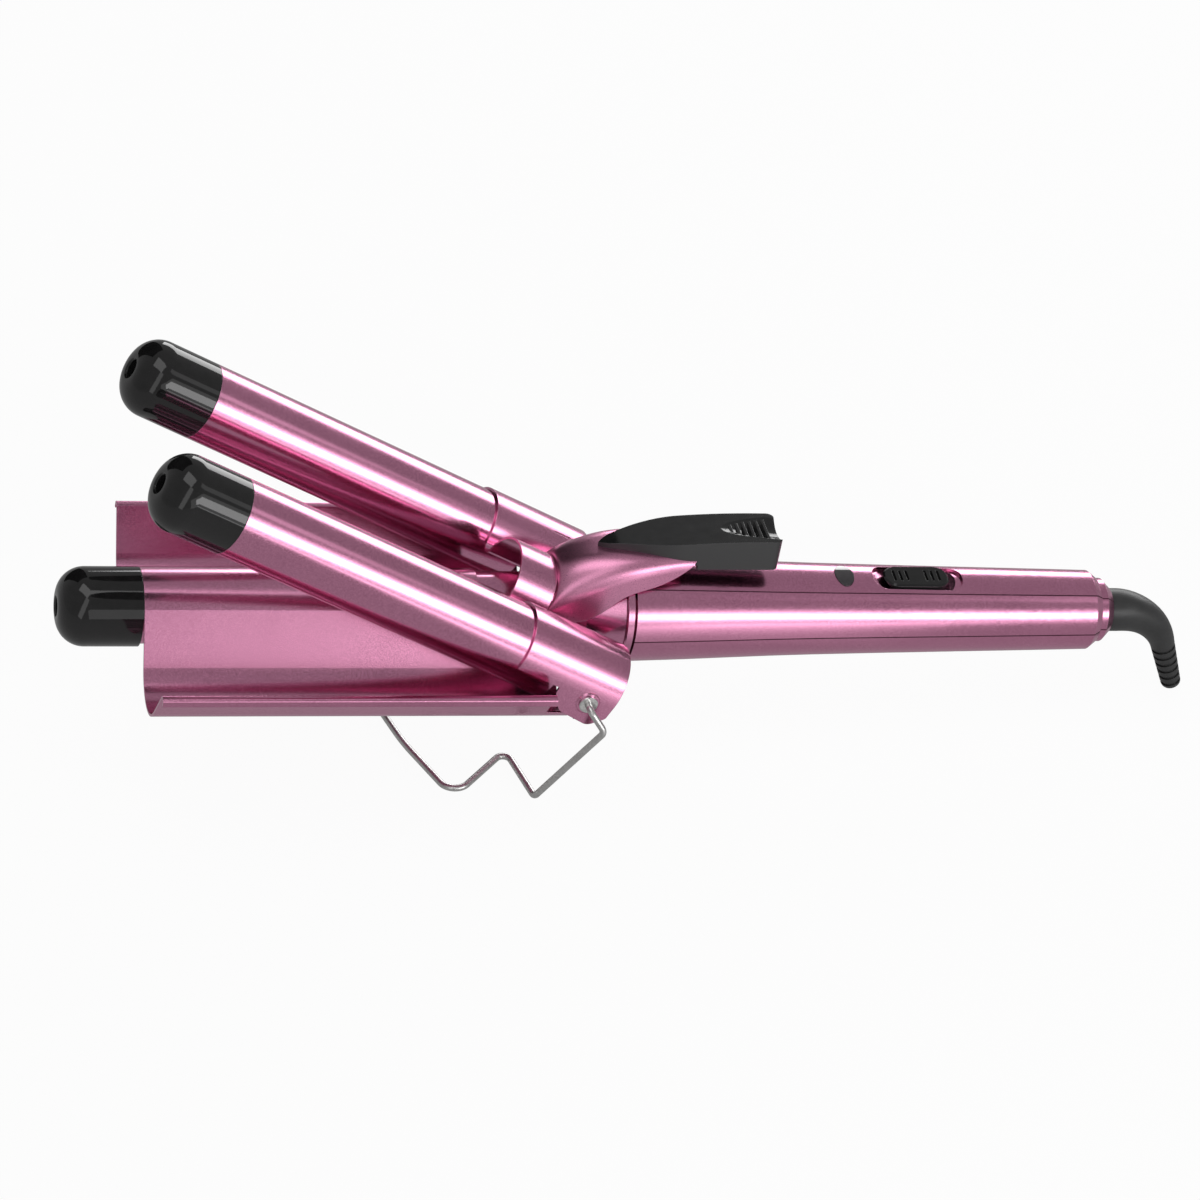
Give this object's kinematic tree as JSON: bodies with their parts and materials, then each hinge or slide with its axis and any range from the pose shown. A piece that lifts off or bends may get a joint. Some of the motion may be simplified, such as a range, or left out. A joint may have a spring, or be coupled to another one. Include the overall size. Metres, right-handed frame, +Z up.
{
  "type": "hair waver",
  "caption": "Hair waver: a fixed barrel on a formed tray, outer barrels on a thumb-lever clamp, tapered handle with slide switch, wire stand and bent cord boot.",
  "frame": {"origin": "middle of the footprint at table height, the waver standing on its wire stand and cord boot with the clamp open", "axes": "+X from the barrel tips towards the cord, +Y towards the far outer barrel, +Z up"},
  "size_m": [0.3766, 0.106, 0.1346],
  "materials": {
    "satin_pink": "satin metallic",
    "satin_pink_plastic": "satin metallic coat",
    "black_gloss": "glossy",
    "black_plastic": "satin",
    "black_rubber": "satin",
    "lens": "glossy dark lens",
    "lamp": "clear red",
    "ceramic": "fired",
    "aluminium": "extruded",
    "lead_sleeve": "glass-braid sleeve",
    "brass": "bright",
    "board": "laminate",
    "steel": "bright"
  },
  "bodies": {
    "handle": {"board_spacers": "black_plastic", "circuit_board": "board", "contact_blades": "brass", "far_hinge_rivet": "steel", "far_hinge_washer": "steel", "far_torsion_spring": "steel", "front_ring": "satin_pink_plastic", "handle_screws": "steel", "heater_leads": "lead_sleeve", "hinge_yoke": "steel", "indicator_lamp": "lamp", "indicator_lens": "lens", "lower_handle_shell": "satin_pink_plastic", "middle_barrel": "satin_pink", "middle_heat_spreaders": "aluminium", "middle_heating_bar": "ceramic", "middle_tip_cap": "black_gloss", "near_hinge_rivet": "steel", "near_hinge_washer": "steel", "near_torsion_spring": "steel", "neck_collar": "satin_pink_plastic", "supply_leads": "lead_sleeve", "switch_body": "black_plastic", "swivel_block": "black_plastic", "thermal_fuse": "steel", "top_panel": "satin_pink_plastic", "tray": "satin_pink", "upper_handle_shell": "satin_pink_plastic", "yoke_screws": "steel"},
    "clamp": {"barrel_studs": "steel", "clamp_cover": "satin_pink", "far_barrel": "satin_pink", "far_heat_spreaders": "aluminium", "far_heater_leads": "lead_sleeve", "far_heating_bar": "ceramic", "far_tip_cap": "black_gloss", "lever_scoop": "satin_pink", "near_barrel": "satin_pink", "near_heat_spreaders": "aluminium", "near_heater_leads": "lead_sleeve", "near_heating_bar": "ceramic", "near_tip_cap": "black_gloss", "pad_rivets": "steel", "thumb_pad": "black_plastic"},
    "stand": {"wire_stand": "steel"},
    "switch": {"switch_knob": "black_gloss"},
    "boot": {"cord_boot": "black_rubber", "slip_rings": "brass"}
  },
  "joints": [
    {"name": "clamp_hinge", "type": "hinge", "parent": "handle", "child": "clamp", "pos_m": [-0.02698, 0, 0.04372], "axis": [0, -1, 0], "range_deg": [0, 26.45]},
    {"name": "stand_hinge", "type": "hinge", "parent": "handle", "child": "stand", "pos_m": [-0.02698, 0, 0.04372], "axis": [0, 1, 0], "range_deg": [-90, 27.5]},
    {"name": "switch_slide", "type": "slide", "parent": "handle", "child": "switch", "axis": [0.9969, 0, -0.0785], "range_m": [-0.0026, 0.0032]},
    {"name": "boot_swivel", "type": "hinge", "parent": "handle", "child": "boot", "pos_m": [0.15779, 0, 0.03349], "axis": [0.9969, 0, -0.0785], "continuous": true}
  ]
}
